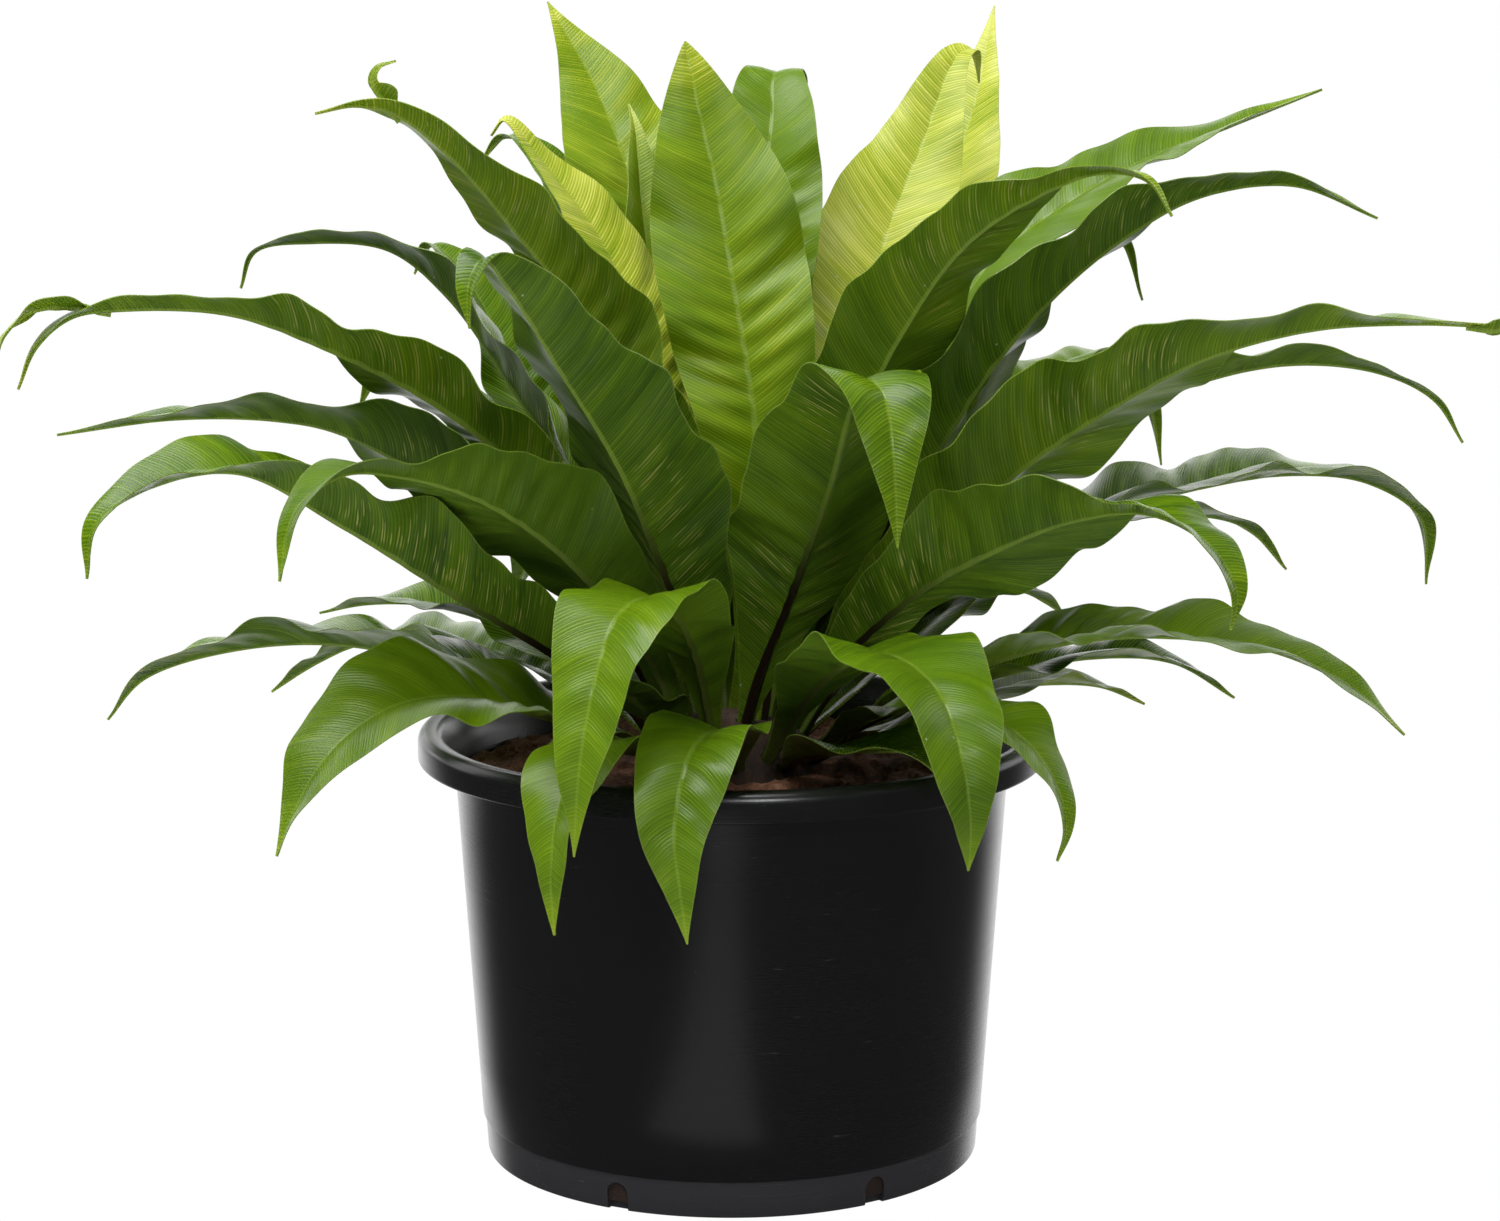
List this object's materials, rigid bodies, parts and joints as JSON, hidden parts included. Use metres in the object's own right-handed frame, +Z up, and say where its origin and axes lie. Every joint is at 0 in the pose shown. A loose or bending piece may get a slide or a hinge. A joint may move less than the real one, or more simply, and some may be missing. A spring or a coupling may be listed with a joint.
{
  "type": "potted japanese birds nest fern",
  "caption": "Bird's nest fern with a full rosette of wave-edged undivided fronds, in a squat round black nursery pot.",
  "frame": {"origin": "middle of the pot's underside", "axes": "+Z up along the pot's axis, -Y towards the front of the plant, +X to its right"},
  "size_m": [0.6935, 0.4984, 0.5463],
  "materials": {
    "pot_plastic": "satin black polypropylene with fine moulding lines",
    "soil": "dry crumbly coir and peat, matte",
    "crown": "dark brown scaly stem",
    "leaf_young": "yellow-green living leaf, soft sheen",
    "leaf_bright": "mid-green living leaf, glossy above",
    "leaf_dark": "deep green living leaf, glossy above and paler below"
  },
  "bodies": {
    "root": {"pot": "pot_plastic", "soil": "soil", "crown": "crown", "frond_top_centre": "leaf_young", "frond_top_behind": "leaf_bright", "frond_top_right": "leaf_young", "frond_top_right_behind": "leaf_young", "frond_top_left": "leaf_young", "frond_top_left_yellow": "leaf_young", "frond_top_rolled": "leaf_bright", "frond_top_back": "leaf_dark", "frond_left_1": "leaf_dark", "frond_left_2": "leaf_dark", "frond_left_3": "leaf_dark", "frond_left_4": "leaf_dark", "frond_left_5": "leaf_dark", "frond_left_6": "leaf_bright", "frond_left_7": "leaf_dark", "frond_left_8": "leaf_bright", "frond_left_9": "leaf_dark", "frond_right_1": "leaf_dark", "frond_right_2": "leaf_bright", "frond_right_3": "leaf_dark", "frond_right_4": "leaf_dark", "frond_right_5": "leaf_dark", "frond_right_6": "leaf_dark", "frond_right_7": "leaf_dark", "frond_right_8": "leaf_bright", "frond_right_9": "leaf_dark", "frond_right_10": "leaf_young", "frond_front_1": "leaf_dark", "frond_front_2": "leaf_bright", "frond_front_3": "leaf_bright", "frond_front_4": "leaf_bright", "frond_front_5": "leaf_bright", "frond_front_6": "leaf_bright", "frond_front_7": "leaf_dark", "frond_front_8": "leaf_dark", "frond_front_9": "leaf_dark", "frond_back_1": "leaf_dark", "frond_back_2": "leaf_dark", "frond_back_3": "leaf_dark", "frond_back_4": "leaf_dark", "frond_back_5": "leaf_bright", "frond_back_6": "leaf_bright", "frond_back_7": "leaf_dark", "frond_back_8": "leaf_dark", "frond_back_9": "leaf_dark", "frond_back_10": "leaf_dark", "frond_back_11": "leaf_dark", "frond_back_12": "leaf_bright"}
  },
  "joints": []
}
